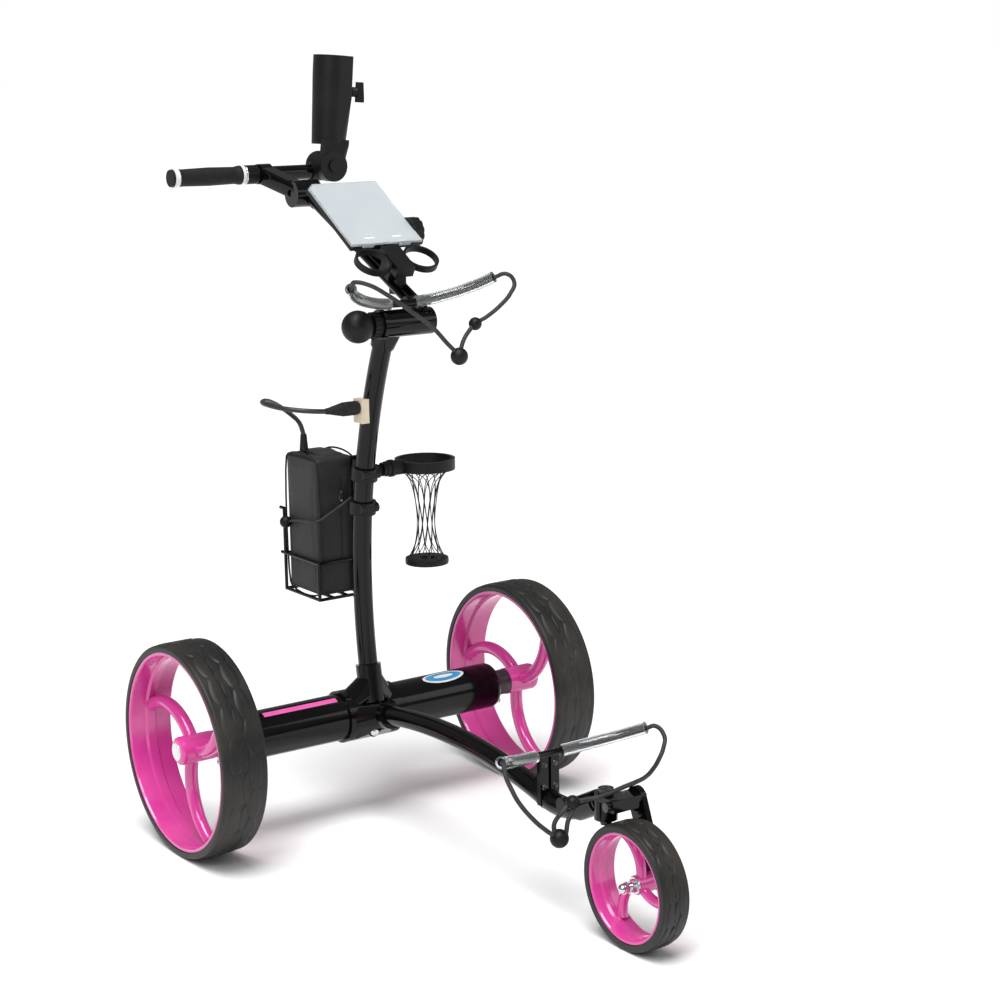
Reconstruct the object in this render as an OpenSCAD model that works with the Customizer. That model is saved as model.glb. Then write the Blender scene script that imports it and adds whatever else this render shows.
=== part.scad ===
/* [Rear wheels] */
// Radius over the tread
rear_r = 150; // [140:1:160]
// Tread width
rear_w = 67.5; // [60:0.5:70]
// Distance from the centre plane to the middle of a rear wheel
rear_x = 277.75; // [272:0.25:285]
// Thickness of the rubber
tyre_t = 10; // [8:1:12]
// Radius of a round spoke
rear_spoke_r = 9.5; // [8:0.5:11]

/* [Front wheel] */
// Distance from the rear axle to the front axle
wheelbase = 631; // [620:1:640]
// Radius over the tread
front_r = 80; // [76:1:82]
// Tread width
front_w = 41.6; // [38:0.2:44]

/* [Frame] */
// Radius of the motor tube across the rear axle
axle_tube_r = 34; // [32:1:36]
// Half length of the motor tube without its end caps
axle_tube_half = 214; // [210:1:216]
// Radius of the mast and of the front arm
frame_tube_r = 14; // [12:0.5:15]
// Wall of the frame tubes
tube_wall = 1.5; // [1:0.25:2]
// Bend radius of the mast
mast_bend = 886; // [870:2:900]
// Bend radius of the front arm's arch
arm_bend = 930; // [910:2:950]

/* [Bag brackets] */
// Bend radius of a cradle bar
cradle_r = 134; // [126:1:140]
// Half angle of a cradle bar
cradle_half = 59; // [50:1:62]
// Radius of the bar
cradle_bar_r = 5; // [4:0.5:5]
// Radius over the clear sleeve
sleeve_r = 8; // [7:0.5:8.5]

/* [Handle] */
// Radius of the cross bar
grip_bar_r = 11; // [10:0.5:11]
// Radius of the rubber grip
grip_r = 13.5; // [12.5:0.5:14]
// Bore of the umbrella tube
umbrella_bore_r = 19; // [16:0.5:20]
// Outer radius of the umbrella tube
umbrella_r = 26; // [25:0.5:27]

/* [Accessories] */
// Outer radius of the drinks ring
drinks_r = 44; // [42:1:46]
// Inner radius of the drinks ring
drinks_bore_r = 38.5; // [34:0.5:40]
// Width of the score card tray
tray_w = 116; // [104:1:118]
// Length of the score card tray
tray_l = 143; // [120:1:150]

/* [Hidden] */
$fn = 64;

black = "#111113";
pink = "#d63a94";
rubber = "#2b2a28";
steel = "silver";

// Everything is laid out from the ground point under the rear axle, with +Y forwards and +X to
// the trolley's right; layout() then brings the origin to the middle of the whole footprint.
origin_y = 217;
fit = 0.05;
gap = 0.3;

rear_z = rear_r;
front_z = front_r;
front_y = wheelbase;

mast_low_z = 350;
mast_low_y = 5.5;
arm_top = [215, 173];

hinge = [102, 729];
hinge_r = 19;
hinge_split = -24;
hinge_right = 16;
hinge_left = -62;
hinge_bolt_r = 6;
knob_x = 55;
knob_r = 22.5;

handle_x = -42;
handle_spread = 7.5;
handle_tube_r = 6;
handle_low = [100, 751];
drum = [-183, 893];
drum_r = 20;
drum_split = -31;
drum_left = -54;
drum_right = -12;

bar_y = -250;
bar_z = 920;
bar_right = 146;
bar_left = -105;

knuckle = [-108, 928];
knuckle_r = 22;
knuckle_face = -235.5;
umbrella_x = -115;
umbrella_low = 960;
umbrella_top = 1092;
screw_z = 1040;
screw_turn = 150;
umbrella_lean = -4.8;

console = [-29, 50, 835];
console_tilt = -33;
ring_off = 39;
ring_out_r = 26;
ring_in_r = 22.5;

fork_pivot_y = 572;
fork_x = -34;

bag_low = [-31, -148, 317];
bag_size = [62, 88, 200];
gland = [22, -112];
socket = [12, 33, 586];
socket_size = [12, 23, 34];
plug = [45, 608];

drinks = [-105, 16, 509];
drinks_knuckle_x = -36;

lower_cradle = [0, 451, 203];
lower_tilt = 25;
upper_cradle = [-12, 109, 756.4];
upper_tilt = 30;

// Routes of the cords, by hand: from one held end to the other.
lower_bungee_routes = [
    [[115, 511, 230], [120, 521, 234], [126, 534, 222], [124, 544, 206], [120, 552, 192],
        [107, 565, 170], [93, 572, 155], [82, 576, 146]],
    [[82, 574, 150], [82, 574, 162], [74, 577, 174], [58, 580, 186], [44, 586, 188],
        [28, 591, 189], [8, 592, 191], [-12, 592, 194], [-34, 589, 195], [-58, 579, 194],
        [-82, 565, 196], [-102, 552, 201], [-117, 543, 211], [-126, 534, 223], [-122, 521, 234],
        [-115, 511, 230]],
    [[70, 581, 146], [70, 583, 154], [68, 583, 164], [62, 583, 174], [56, 582, 182]]];
upper_bungee_routes = [
    [[102, 166, 788], [108, 177, 796], [110, 188, 800], [98, 200, 797], [72, 206, 782],
        [34, 207, 756], [0, 205, 732], [-24, 202, 709], [-40, 200, 695]],
    [[-48, 198, 699], [-56, 194, 711], [-68, 190, 722], [-80, 187, 730], [-98, 188, 738],
        [-120, 190, 752], [-138, 190, 768], [-147, 186, 782], [-140, 178, 793], [-127, 166, 788]]];
battery_bungee_route = [
    [-21, -54, 458], [-8, -54, 451], [8, -54, 443], [22, -54, 436], [32, -56, 431],
    [38, -64, 428], [39, -80, 426], [39, -100, 424], [39, -120, 421], [40, -136, 417]];
cable_route = [
    [76, 45, 608], [96, 42, 610], [114, 30, 612], [128, 10, 614], [134, -12, 616],
    [130, -36, 616], [112, -60, 614], [88, -82, 606], [66, -98, 595], [44, -108, 581],
    [28, -112, 566], [22, -112, 549]];

// ---- shared shapes -------------------------------------------------------

module layout() translate([0, -origin_y, 0]) children();

// A straight round bar between two points.
module rod(a, b, r) {
    d = b - a;
    translate(a) rotate([0, acos(d[2] / norm(d)), atan2(d[1], d[0])]) cylinder(h = norm(d), r = r);
}

// A round bar along X at [y, z].
module bar_x(x0, x1, at, r) translate([x0, at[0], at[1]]) rotate([0, 90, 0]) cylinder(h = x1 - x0, r = r);

// A straight round bar along Y at [x, z].
module bar_y(y0, y1, at, r) translate([at[0], y0, at[1]]) rotate([-90, 0, 0]) cylinder(h = y1 - y0, r = r);

// A profile of [radius, x] points turned about the X axis through [y, z].
module turned_x(at, points) translate([0, at[0], at[1]]) rotate([0, 90, 0]) rotate_extrude() polygon(points);

// A bend in the YZ plane: centre [y, z], bend radius, start and end angle, tube radius.
module bend(at, bend_r, from, to, r) translate([0, at[0], at[1]]) rotate([90, 0, 90]) rotate([0, 0, from])
    rotate_extrude(angle = to - from) translate([bend_r, 0]) circle(r = r);

// A box from its low corner to its high corner.
module block(low, high) translate(low) cube(high - low);

// Mast centre line at a height, and its lean from the vertical.
function mast_lean(z) = asin((z - mast_low_z) / mast_bend);
function mast_at(z) = [0, mast_low_y + mast_bend * (1 - cos(mast_lean(z))), z];
module mast_tube(low, high, r) bend([mast_low_y + mast_bend, mast_low_z], mast_bend,
    180 - mast_lean(high), 180 - mast_lean(low), r);
function arm_angle(y) = 90 + asin((arm_top[0] - y) / arm_bend);
module arm_arch(near, far, r) bend([arm_top[0], arm_top[1] - arm_bend], arm_bend,
    arm_angle(far), arm_angle(near), r);

// Smooth route through hand-chosen points: Catmull-Rom, then a ring of points about each place.
function along(p, k, t) =
    let (a = p[max(k - 1, 0)], b = p[k], c = p[k + 1], d = p[min(k + 2, len(p) - 1)])
    0.5 * (2 * b + (c - a) * t + (2 * a - 5 * b + 4 * c - d) * t * t
        + (3 * b - a - 3 * c + d) * t * t * t);
function route(p, steps) = concat(
    [for (k = [0 : len(p) - 2]) for (s = [0 : steps - 1]) along(p, k, s / steps)], [p[len(p) - 1]]);
function heading(q, i) =
    let (d = q[min(i + 1, len(q) - 1)] - q[max(i - 1, 0)]) d / norm(d);
function side_of(t, up) = let (s = cross(t, up)) s / norm(s);
function ring_at(q, i, r, sides, up) =
    let (t = heading(q, i), u = side_of(t, up), v = cross(t, u))
    [for (k = [0 : sides - 1]) q[i] + r * (cos(360 * k / sides) * u + sin(360 * k / sides) * v)];
module cord(p, r, sides, steps, up) {
    q = route(p, steps);
    n = len(q);
    polyhedron(
        points = [for (i = [0 : n - 1]) each ring_at(q, i, r, sides, up)],
        faces = concat(
            [[for (k = [0 : sides - 1]) k]],
            [[for (k = [sides - 1 : -1 : 0]) (n - 1) * sides + k]],
            [for (i = [0 : n - 2]) for (k = [0 : sides - 1])
                [i * sides + k, (i + 1) * sides + k, (i + 1) * sides + (k + 1) % sides,
                    i * sides + (k + 1) % sides]]));
}

// ---- motor tube and frame ------------------------------------------------

module axle_tube() color(black) layout() difference() {
    bar_x(-axle_tube_half, axle_tube_half, [0, rear_z], axle_tube_r);
    bar_x(-axle_tube_half - 1, axle_tube_half + 1, [0, rear_z], axle_tube_r - 2.5);
}

cap_len = 11;
cap_round = 8;
module tube_end_caps() color(black) layout() for (s = [-1, 1]) turned_x([0, rear_z], [
    [16 + fit, s * axle_tube_half], [axle_tube_r, s * axle_tube_half],
    for (a = [0 : 15 : 90]) [axle_tube_r - cap_round + cap_round * cos(a),
        s * (axle_tube_half + cap_len - cap_round + cap_round * sin(a))],
    [9, s * (axle_tube_half + cap_len)], [9, s * (axle_tube_half + 8)],
    [16 + fit, s * (axle_tube_half + 8)]]);

module axle_bearings() color(steel) layout() for (s = [-1, 1]) turned_x([0, rear_z], [
    [6 + fit, s * axle_tube_half], [16, s * axle_tube_half],
    [16, s * (axle_tube_half + 8)], [6 + fit, s * (axle_tube_half + 8)]]);

module geared_motors() color("dimgray") layout() for (s = [-1, 1]) turned_x([0, rear_z], [
    [0, s * 64], [26, s * 64], [26, s * 156], [31, s * 156], [31, s * 210], [6 + fit, s * 210],
    [6 + fit, s * 186], [0, s * 186]]);

module controller() color("darkgreen") layout() union() {
    block([-48, -22, rear_z - 6], [48, 22, rear_z + 2]);
    for (x = [-36 : 18 : 36]) block([x - 5, -10, rear_z + 2], [x + 5, 8, rear_z + 16]);
}

clamp_half = 44;
socket_r = 18.5;
bolt = [12, 134];
module frame_clamp() color(black) layout() difference() {
    union() {
        bar_x(-clamp_half, clamp_half, [0, rear_z], axle_tube_r + 4);
        rod(mast_at(172), mast_at(226), socket_r);
        hull() {
            rod(mast_at(184), mast_at(208), socket_r);
            bar_x(-37, 37, [6, 165], 20);
        }
        rod([0, 28, 153], [0, 74, 161], socket_r);
        hull() {
            rod([0, 40, 155], [0, 60, 158.5], socket_r);
            bar_x(-37, 37, [19, 149], 19);
            bar_x(-26, 30, [23, 129], 9);
        }
        rod([bolt[0], 26, bolt[1]], [bolt[0], 45, bolt[1]], 9);
    }
    bar_x(-clamp_half - 1, clamp_half + 1, [0, rear_z], axle_tube_r + fit);
    mast_tube(186, 260, frame_tube_r + fit);
    arm_arch(38, 100, frame_tube_r + fit);
    rod([bolt[0], 26, bolt[1]], [bolt[0], 50, bolt[1]], 3 + fit);
    rod([bolt[0], 45, bolt[1]], [bolt[0], 80, bolt[1]], 7.3);
}

module clamp_bolts() color(steel) layout() translate([bolt[0], 33, bolt[1]]) rotate([-90, 0, 0])
    rotate_extrude() polygon([[0, 0], [3, 0], [3, 12], [7, 12],
        for (a = [0 : 18 : 72]) [7 * cos(a), 14 + 4 * sin(a)],
        [0, 18]]);

mast_foot = 188;
mast_head = 716;
module mast() color(black) layout() difference() {
    mast_tube(mast_foot, mast_head, frame_tube_r);
    mast_tube(mast_foot - 15, mast_head + 15, frame_tube_r - tube_wall);
    bar_x(-30, 30, hinge, hinge_r + fit);
}

// The arch falls to the kick bend, which turns up to the head of the fork.
arm_start = 40;
kick_r = 110;
kick_from = 14.5;
kick_to = 27;
kick_y = arm_top[0] + arm_bend * sin(kick_from);
kick_z = arm_top[1] - arm_bend * (1 - cos(kick_from));
kick_c = [kick_y + kick_r * sin(kick_from), kick_z + kick_r * cos(kick_from)];
kick_end = [0, kick_c[0] + kick_r * sin(kick_to), kick_c[1] - kick_r * cos(kick_to)];
kick_dir = [0, cos(kick_from), -sin(kick_from)];
tip_dir = [0, cos(kick_to), sin(kick_to)];
module front_arm() color(black) layout() difference() {
    union() {
        bend([arm_top[0], arm_top[1] - arm_bend], arm_bend, 90.15 - kick_from,
            90 + asin((arm_top[0] - arm_start) / arm_bend), frame_tube_r);
        rod([0, kick_y, kick_z] - 5 * kick_dir, [0, kick_y, kick_z] + 5 * kick_dir, frame_tube_r + 0.6);
        bend(kick_c, kick_r, 271 - kick_from, 268 + kick_to, frame_tube_r);
        rod(kick_end - 8 * tip_dir, kick_end + 36 * tip_dir, frame_tube_r + 2);
        rod(kick_end + 30 * tip_dir, kick_end + 42 * tip_dir, frame_tube_r);
        translate([0, fork_pivot_y, 150]) cylinder(h = 26, r = 15);
        translate([frame_tube_r - 2, 504, 152]) rotate([0, 90, 0]) cylinder(h = 8, r = 10);
    }
    block([-20, fork_pivot_y - 17, 176], [20, fork_pivot_y + 48, 205]);
    translate([0, fork_pivot_y, 140]) cylinder(h = 60, r = 5 + fit);
}

// ---- lower bag bracket ---------------------------------------------------

// A cradle bar lies in a plane that leans forwards, open towards the bag.
module cradle_arc(at, tilt, from, to) translate(at) rotate([tilt, 0, 0])
    translate([0, cradle_r, 0]) rotate([0, 0, from - 90]) rotate_extrude(angle = to - from)
    translate([cradle_r, 0]) children();
module cradle_sleeves(at, tilt) for (s = [-1, 1])
    cradle_arc(at, tilt, s > 0 ? 9 : -cradle_half, s > 0 ? cradle_half : -9) difference() {
        circle(r = sleeve_r);
        circle(r = cradle_bar_r + fit);
    }

post_x = 8.5;
module lower_bracket_posts() color(black) layout() difference() {
    union() {
        for (s = [-1, 1]) block([s * post_x - 6.5, 447, 136], [s * post_x + 6.5, 455, 203]);
        hull() {
            block([-3, 424, 152], [3, 450, 160]);
            block([-3, 444, 188], [3, 450, 194]);
        }
    }
    arm_arch(380, 470, frame_tube_r + fit);
    rod([0, kick_y, kick_z] - 6 * kick_dir, [0, kick_y, kick_z] + 6 * kick_dir, frame_tube_r + 0.6 + fit);
    bend(kick_c, kick_r, 270 - kick_from, 300, frame_tube_r + fit);
    cradle_arc(lower_cradle, lower_tilt, -15, 15) circle(r = cradle_bar_r + fit);
}
module lower_cradle_bar() color(black) layout()
    cradle_arc(lower_cradle, lower_tilt, -cradle_half, cradle_half) circle(r = cradle_bar_r);
module lower_cradle_sleeves() color("lightgray", 0.4) layout() cradle_sleeves(lower_cradle, lower_tilt);
module lower_bungee() color(black) layout()
    for (p = lower_bungee_routes) cord(p, 3, 8, 1, [0.2, 0.3, 0.9]);
module lower_bungee_toggles() color(black) layout() {
    translate([76, 576, 142]) sphere(r = 12);
    translate([58, 580, 186]) sphere(r = 9);
}

// ---- mast head, socket, battery cradle, drinks arm -----------------------

module mast_hinge_half() color(black) layout() difference() {
    union() {
        bar_x(hinge_split + gap / 2, hinge_right, hinge, hinge_r);
        bar_x(hinge_right, hinge_right + 6, hinge, hinge_r + 2);
        difference() {
            hull() {
                rod(mast_at(696), mast_at(702), frame_tube_r + 3);
                bar_x(-15, 14, hinge - [6, 10], 8);
            }
            mast_tube(mast_head - 60, mast_head + 15, frame_tube_r + fit);
        }
    }
    bar_x(-40, 40, hinge, hinge_bolt_r + fit);
}

module power_socket() color("wheat") layout() difference() {
    block(socket, socket + socket_size);
    mast_tube(560, 650, frame_tube_r + fit);
    for (s = [-4, 4]) bar_x(20, 26, plug + [s, 0], 1.6);
}

clamp_z = [458, 508];
spine_x = -28;
spine_y = -53;
module cradle_clamps() color("#1d1d1f") layout() for (z = clamp_z) difference() {
    union() {
        rod(mast_at(z - 9), mast_at(z + 9), frame_tube_r + 5);
        hull() {
            translate(mast_at(z) + [0, -14, -7]) cylinder(h = 14, r = 8, $fn = 32);
            block([spine_x - 6, spine_y + 2.5, z - 7], [spine_x + 6, spine_y + 6, z + 7]);
        }
        rod(mast_at(z) + [-16, 12, 0], mast_at(z) + [14, 14, 0], 7);
    }
    mast_tube(z - 20, z + 20, frame_tube_r + fit);
}

wire_r = 2.5;
hoop = [[-36, -56], [36, -56], [36, -152.5], [-36, -152.5]];
module wire_loop(z) for (k = [0 : 3]) {
    a = [each hoop[k], z];
    rod(a, [each hoop[(k + 1) % 4], z], wire_r);
    translate(a) sphere(r = wire_r);
}
module battery_cradle() color(black) layout() union() {
    wire_loop(366);
    wire_loop(312);
    for (k = [0 : 3]) rod([each hoop[k], 312], [each hoop[k], 366], wire_r);
    for (x = [-12, 12]) rod([x, -56, 312], [x, -152.5, 312], wire_r);
    rod([36, -152.5, 366], [36, -152.5, 434], wire_r);
    rod([36, -152.5, 434], [36, -163, 434], wire_r);
    rod([36, -152.5, 366], [36, -163, 366], wire_r);
    difference() {
        block([spine_x - 5, spine_y - 4, 312], [spine_x + 5, spine_y + 2.5, 520]);
        translate([spine_x, spine_y - 10, 445]) rotate([-90, 0, 0]) cylinder(h = 20, r = 2);
    }
}
module battery_bungee() color(black) layout() union() {
    cord(battery_bungee_route, 1.8, 8, 1, [0.1, 0.2, 0.97]);
    translate([41, -140, 416]) sphere(r = 9, $fn = 32);
}

module drinks_arm() color(black) layout() difference() {
    union() {
        bar_x(drinks_knuckle_x, -15, [drinks[1], drinks[2]], 5);
        bar_x(drinks_knuckle_x, drinks_knuckle_x + 5, [drinks[1], drinks[2]], 10);
        bar_x(-23, -17.5, [drinks[1], drinks[2]], 9);
    }
    rod(1.5 * mast_at(499) - 0.5 * mast_at(517), 1.5 * mast_at(517) - 0.5 * mast_at(499),
        frame_tube_r + 5 + fit);
    rod(mast_at(508) + [-17, 11.9, 0], mast_at(508) + [15, 14.1, 0], 7 + fit);
}

// ---- wheels --------------------------------------------------------------

function tyre_profile(r, w, t, round) = [
    [r - t, -w / 2 + 1], [r - t + 1, -w / 2],
    for (a = [0 : 30 : 90]) [r - round + round * sin(a), -w / 2 + round - round * cos(a)],
    for (a = [90 : -30 : 0]) [r - round + round * sin(a), w / 2 - round + round * cos(a)],
    [r - t + 1, w / 2], [r - t, w / 2 - 1]];

// Rim barrel with rolled edges and a raised band in the middle.
function rim_profile(r, w, wall, band, band_w) = [
    [r, -w / 2], [r, w / 2], [r - wall + 1, w / 2], [r - wall, w / 2 - 2],
    [r - wall, band_w], [r - wall - band, band_w - 3], [r - wall - band, 3 - band_w],
    [r - wall, -band_w], [r - wall, 2 - w / 2], [r - wall + 1, -w / 2]];

// Three round spokes, each an arc that leaves the hub and sweeps round to the rim.
module swirl_spokes(reach, arc_r, r, phase) {
    half = asin(reach / 2 / arc_r);
    for (k = [0 : 2]) rotate([0, 0, phase + 120 * k + 90 - half]) translate([arc_r, 0, 0])
        rotate([0, 0, 180]) rotate_extrude(angle = 2 * half) translate([arc_r, 0]) circle(r = r, $fn = 32);
}

module rear_rim(x, side, phase) {
    difference() {
        translate([x, 0, rear_z]) rotate([90, 0, 90]) union() {
            rotate_extrude($fn = 96) polygon(rim_profile(rear_r - tyre_t - 0.1, rear_w - 3, 5, 3.5, 9));
            swirl_spokes(rear_r - tyre_t - 8, 90, rear_spoke_r, phase);
        }
        bar_x(x - 60, x + 60, [0, rear_z], 19);
    }
    turned_x([0, rear_z], [
        [6 + fit, side * 252], [20, side * 252], [20, side * 298],
        for (a = [0 : 30 : 90]) [13 + 7 * cos(a), side * (298 + 7 * sin(a))],
        [0, side * 305], [0, side * 300], [6 + fit, side * 300]]);
}
module rear_tyre(x) turned_x([0, rear_z], [for (p = tyre_profile(rear_r, rear_w, tyre_t, 4)) [p[0], p[1] + x]]);
module drive_shaft(side) difference() {
    union() {
        bar_x(side > 0 ? 187 : -299, side > 0 ? 299 : -187, [0, rear_z], 6);
        turned_x([0, rear_z], [[0, side * 227], [17, side * 227], [19, side * 229],
            [19, side * 251.7], [0, side * 251.7]]);
    }
    translate([side * 240, 0, rear_z - 30]) cylinder(h = 23, r = 2.5 + fit, $fn = 32);
}
module release_pin(side) translate([side * 240, 0, rear_z]) {
    translate([0, 0, -26]) cylinder(h = 18.5, r = 2.5, $fn = 32);
    translate([0, 0, -28]) sphere(r = 3.6, $fn = 32);
}

module tyre_right() color(rubber) layout() rear_tyre(rear_x);
module tyre_left() color(rubber) layout() rear_tyre(-rear_x);
module rim_right() color(pink) layout() rear_rim(rear_x, 1, 166);
module rim_left() color(pink) layout() rear_rim(-rear_x, -1, 177);
module drive_shaft_right() color("#2a2a2c") layout() drive_shaft(1);
module drive_shaft_left() color("#2a2a2c") layout() drive_shaft(-1);
module release_pin_right() color(steel) layout() release_pin(1);
module release_pin_left() color(steel) layout() release_pin(-1);

front_hub = [-24, 0];
module front_fork() color(black) layout() difference() {
    union() {
        translate([0, fork_pivot_y, 176 + gap]) cylinder(h = 8, r = 15);
        block([-15, fork_pivot_y, 176 + gap], [15, 606, 184 + gap]);
        block([fork_x - 4, 580, 176 + gap], [0, 606, 184 + gap]);
        block([-26, 592, 168], [14, 606, 180]);
        hull() {
            bar_x(fork_x - 4, fork_x + 4, [592, 176], 15);
            bar_x(fork_x - 4, fork_x + 4, [front_y, front_z], 13);
        }
    }
    translate([0, fork_pivot_y, 160]) cylinder(h = 40, r = 5);
    bar_x(-60, 0, [front_y, front_z], 5);
}
module fork_pivot_bolt() color("#2a2a2c") layout() union() {
    translate([0, fork_pivot_y, 146]) cylinder(h = 40, r = 5);
    translate([0, fork_pivot_y, 184 + gap]) cylinder(h = 6, r = 10);
    translate([0, fork_pivot_y, 143]) cylinder(h = 6.5, r = 8, $fn = 6);
    bar_x(14, 20, [596, 175], 6);
}
module front_axle() color(steel) layout() union() {
    bar_x(-44, 14, [front_y, front_z], 5);
    bar_x(-30, front_hub[0] - gap, [front_y, front_z], 8);
    bar_x(gap, 3, [front_y, front_z], 11);
    translate([3, front_y, front_z]) rotate([0, 90, 0]) cylinder(h = 7, r = 9.5, $fn = 6);
    translate([14, front_y, front_z]) rotate([0, 90, 0]) cylinder(h = 6, r = 8, $fn = 6);
    translate([20, front_y, front_z]) sphere(r = 6.5, $fn = 32);
    translate([-44, front_y, front_z]) rotate([0, 90, 0]) cylinder(h = 6, r = 9, $fn = 6);
}
module front_tyre() color(rubber) layout() turned_x([front_y, front_z], tyre_profile(front_r, front_w, tyre_t, 3));
module front_rim() color(pink) layout() difference() {
    union() {
        translate([0, front_y, front_z]) rotate([90, 0, 90]) union() {
            rotate_extrude() polygon(rim_profile(front_r - tyre_t - 0.1, front_w - 3, 4, 2.5, 6));
            translate([0, 0, -7.5]) swirl_spokes(front_r - tyre_t - 5.5, 46, 6.5, 118);
        }
        bar_x(front_hub[0], front_hub[1], [front_y, front_z], 12.5);
    }
    bar_x(-60, 60, [front_y, front_z], 9 + fit);
}
module front_bearings() color(steel) layout() for (x = [front_hub[0], front_hub[1] - 6])
    turned_x([front_y, front_z], [[5 + fit, x], [9, x], [9, x + 6], [5 + fit, x + 6]]);

// ---- handle --------------------------------------------------------------

handle_dir = (drum - handle_low) / norm(drum - handle_low);
handle_high = drum - 21 * handle_dir;
module handle_pair(r) for (s = [-1, 1]) rod(
    [handle_x + s * handle_spread, each (handle_low + 4 * handle_dir)],
    [handle_x + s * handle_spread, handle_high[0], handle_high[1]], r);

module handle_hinge_half() color(black) layout() difference() {
    union() {
        bar_x(hinge_left, hinge_split - gap / 2, hinge, hinge_r);
        hull() {
            bar_x(handle_x - 14, handle_x + 14, hinge, 12);
            bar_x(handle_x - 14, handle_x + 14, handle_low + 8 * handle_dir, 9);
        }
    }
    handle_pair(handle_tube_r + fit);
    bar_x(-50, -20, hinge, hinge_bolt_r + fit);
}
module handle_tubes() color(black) layout() union() {
    difference() {
        handle_pair(handle_tube_r);
        bar_x(-80, 0, hinge, 8);
    }
    drum_neck();
    bar_x(drum_left, drum_split - gap / 2, drum, drum_r);
    bar_x(drum_split - 4, drum_right, drum, 6);
}
module drum_neck() hull() {
    bar_x(drum_left + 1, drum_split - gap / 2, drum - 16 * handle_dir, 7);
    bar_x(drum_left + 1, drum_split - gap / 2, drum - 32 * handle_dir, 7);
}
module grip_arm() color(black) layout() difference() {
    union() {
        bar_x(drum_split + gap / 2, drum_right, drum, drum_r);
        hull() {
            bar_x(drum_split + gap / 2, drum_right, drum + [-4, 6], 12);
            bar_x(-14, 6, [bar_y, bar_z], 13);
        }
        bar_x(-14, 6, [bar_y, bar_z], 15);
    }
    bar_x(-40, 20, [bar_y, bar_z], grip_bar_r + fit);
    bar_x(-40, 0, drum, 6 + fit);
    translate([-4, bar_y + 9, bar_z]) rotate([-90, 0, 0]) cylinder(h = 12, r = 5.3);
}
module grip_bar() color(black) layout() difference() {
    bar_x(bar_left, bar_right, [bar_y, bar_z], grip_bar_r);
    bar_x(bar_left + 6, bar_right + 1, [bar_y, bar_z], grip_bar_r - 2);
}
module grip() color("#1a1a1a") layout() union() {
    turned_x([bar_y, bar_z], [[grip_bar_r + fit, 36], [grip_r + 0.5, 36], [grip_r + 0.5, 39],
        [grip_r - 1, 46], [grip_r, 88], [grip_r - 1, 132], [grip_r, 139], [grip_bar_r + fit, 139]]);
    bar_x(bar_right - 9, bar_right + 4, [bar_y, bar_z], grip_bar_r - 2.2);
    bar_x(bar_right + 0.1, bar_right + 4, [bar_y, bar_z], grip_r - 1);
}
module grip_rings() color("white") layout() for (x = [[31, 36], [139, 146]])
    turned_x([bar_y, bar_z], [[grip_bar_r + fit, x[0]], [grip_r + 0.7, x[0]], [grip_r + 0.7, x[1]],
        [grip_bar_r + fit, x[1]]]);
module speed_dial() color("#18181a") layout() difference() {
    bar_x(9, 29, [bar_y, bar_z], 14);
    bar_x(8, 30, [bar_y, bar_z], grip_bar_r + fit);
    for (a = [0 : 20 : 340]) translate([0, bar_y, bar_z]) rotate([a, 0, 0]) bar_x(12, 26, [14.4, 0], 1);
}
module power_button() color("red") layout()
    translate([-4, bar_y + 13.2, bar_z]) rotate([-90, 0, 0]) cylinder(h = 4.8, r = 5, $fn = 32);

module umbrella_knuckle() color(black) layout() difference() {
    union() {
        bar_y(-266, knuckle_face, knuckle, knuckle_r);
        bar_x(-112, -84, [bar_y, bar_z], 14);
        bar_y(knuckle_face - 1, -217, knuckle, 5);
        bar_y(-217.9, -215, knuckle, 9);
    }
    bar_x(bar_left - 0.5, -80, [bar_y, bar_z], grip_bar_r + fit);
}
module leaned() translate([knuckle[0], 0, knuckle[1]]) rotate([0, umbrella_lean, 0])
    translate([-knuckle[0], 0, -knuckle[1]]) children();
module umbrella_tube() color("#161618") layout() leaned() difference() {
    union() {
        bar_y(knuckle_face + gap, -218.2, knuckle, knuckle_r + 1);
        hull() {
            translate([umbrella_x, bar_y, umbrella_low]) cylinder(h = 30, r = umbrella_r - 0.5);
            translate([umbrella_x, bar_y, umbrella_top - 30]) cylinder(h = 30, r = umbrella_r + 2);
            translate([umbrella_x, bar_y, 1030]) rotate([0, 0, screw_turn])
                translate([umbrella_r - 4, -11, 0]) cube([10, 22, umbrella_top - 1030]);
        }
        hull() {
            translate([knuckle[0] - 18, knuckle_face + gap, knuckle[1] + 4]) cube([34, 15, 16]);
            translate([umbrella_x - 22, knuckle_face + gap, umbrella_low]) cube([44, 9, 8]);
        }
    }
    translate([umbrella_x, bar_y, umbrella_low + 8]) cylinder(h = 150, r = umbrella_bore_r);
    translate([umbrella_x, bar_y, screw_z]) rotate([0, 90, screw_turn]) cylinder(h = 50, r = 4 + fit);
    bar_y(-250, -200, knuckle, 5 + fit);
}
module wing_screw() color(black) layout() leaned()
    translate([umbrella_x, bar_y, screw_z]) rotate([0, 90, screw_turn]) union() {
        translate([0, 0, umbrella_bore_r + 1]) cylinder(h = 20, r = 4);
        translate([0, 0, umbrella_r + 6.4]) cylinder(h = 8, r = 7.5);
        hull() for (s = [-1, 1]) translate([s * 12 - 3, -2.5, umbrella_r + 11]) cube([6, 5, s > 0 ? 14 : 12]);
    }

// ---- upper bag bracket and console ---------------------------------------

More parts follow.
